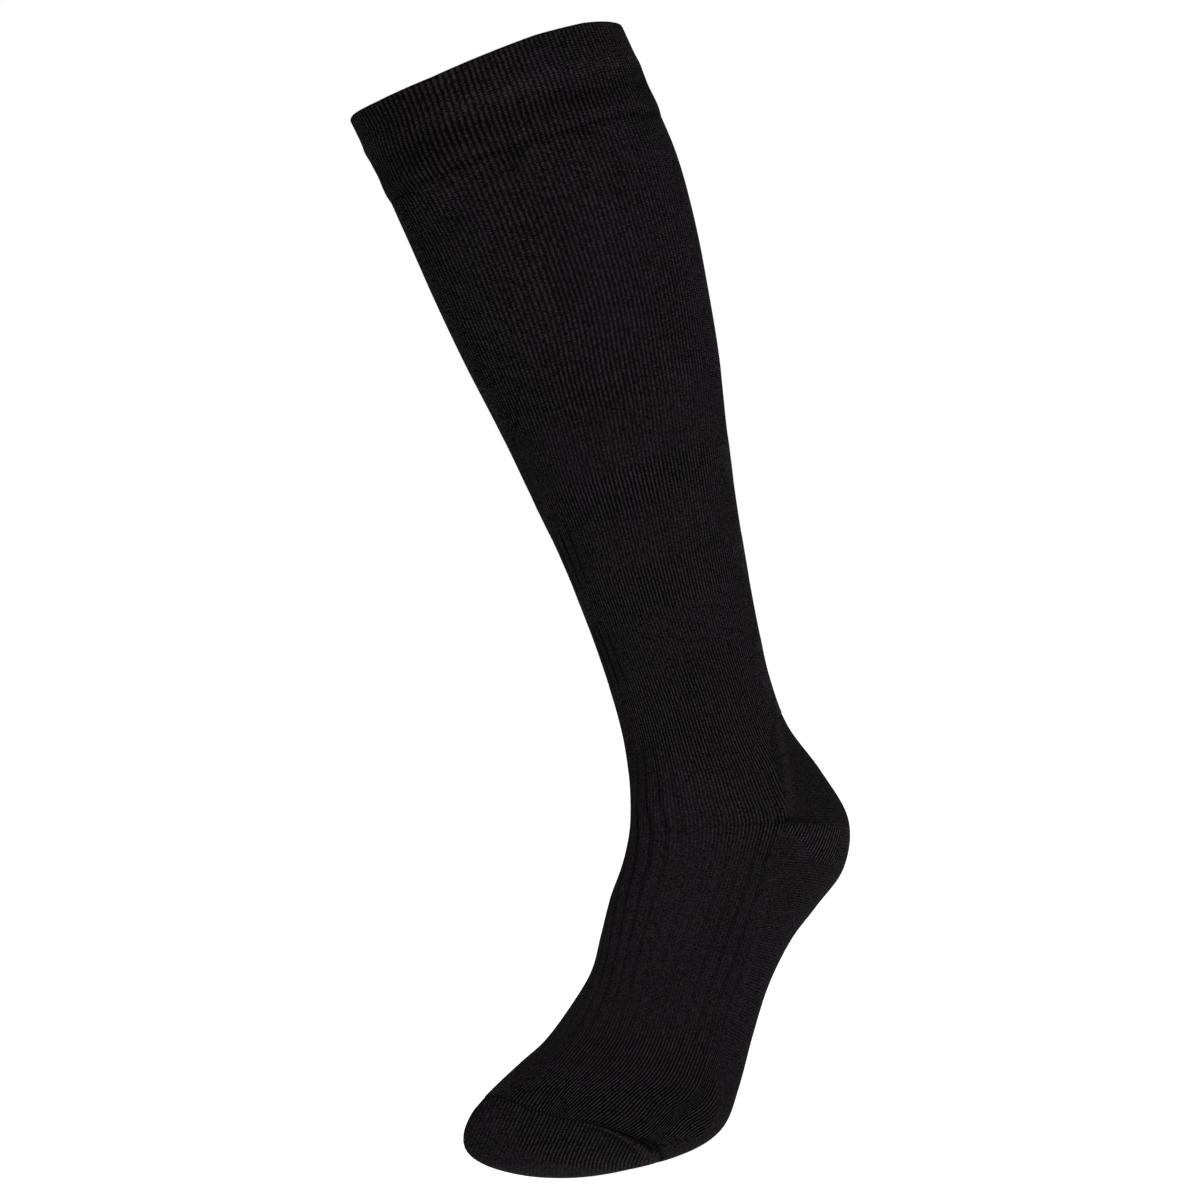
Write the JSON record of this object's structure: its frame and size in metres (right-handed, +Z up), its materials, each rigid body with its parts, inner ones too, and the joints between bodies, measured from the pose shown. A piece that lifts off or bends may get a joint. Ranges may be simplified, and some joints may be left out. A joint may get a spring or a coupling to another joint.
{
  "type": "compression stocking",
  "caption": "Knee-high knitted compression stocking for a left leg, filled out to its worn form: ribbed hollow leg and foot, turned welt, plain heel pocket, closed seamed toe",
  "frame": {"origin": "the middle of the leg opening, where the wearer's calf holds the stocking", "axes": "+Z up out of the leg opening along the leg, -Y the way the toes point, +X the outer side of the left leg, where the little toe is"},
  "size_m": [0.1206, 0.2341, 0.4626],
  "materials": {
    "welt_knit": "matte black fine rib, two layers",
    "rib_knit": "matte black rib knit with a slight nylon sheen",
    "plain_knit": "matte black plain knit",
    "seam_yarn": "matte black linked seam"
  },
  "bodies": {
    "root": {"cuff_band": "welt_knit", "leg_tube": "rib_knit", "heel_pocket": "plain_knit", "foot_tube": "rib_knit", "toe_cap": "plain_knit", "toe_seam": "seam_yarn"}
  },
  "joints": []
}
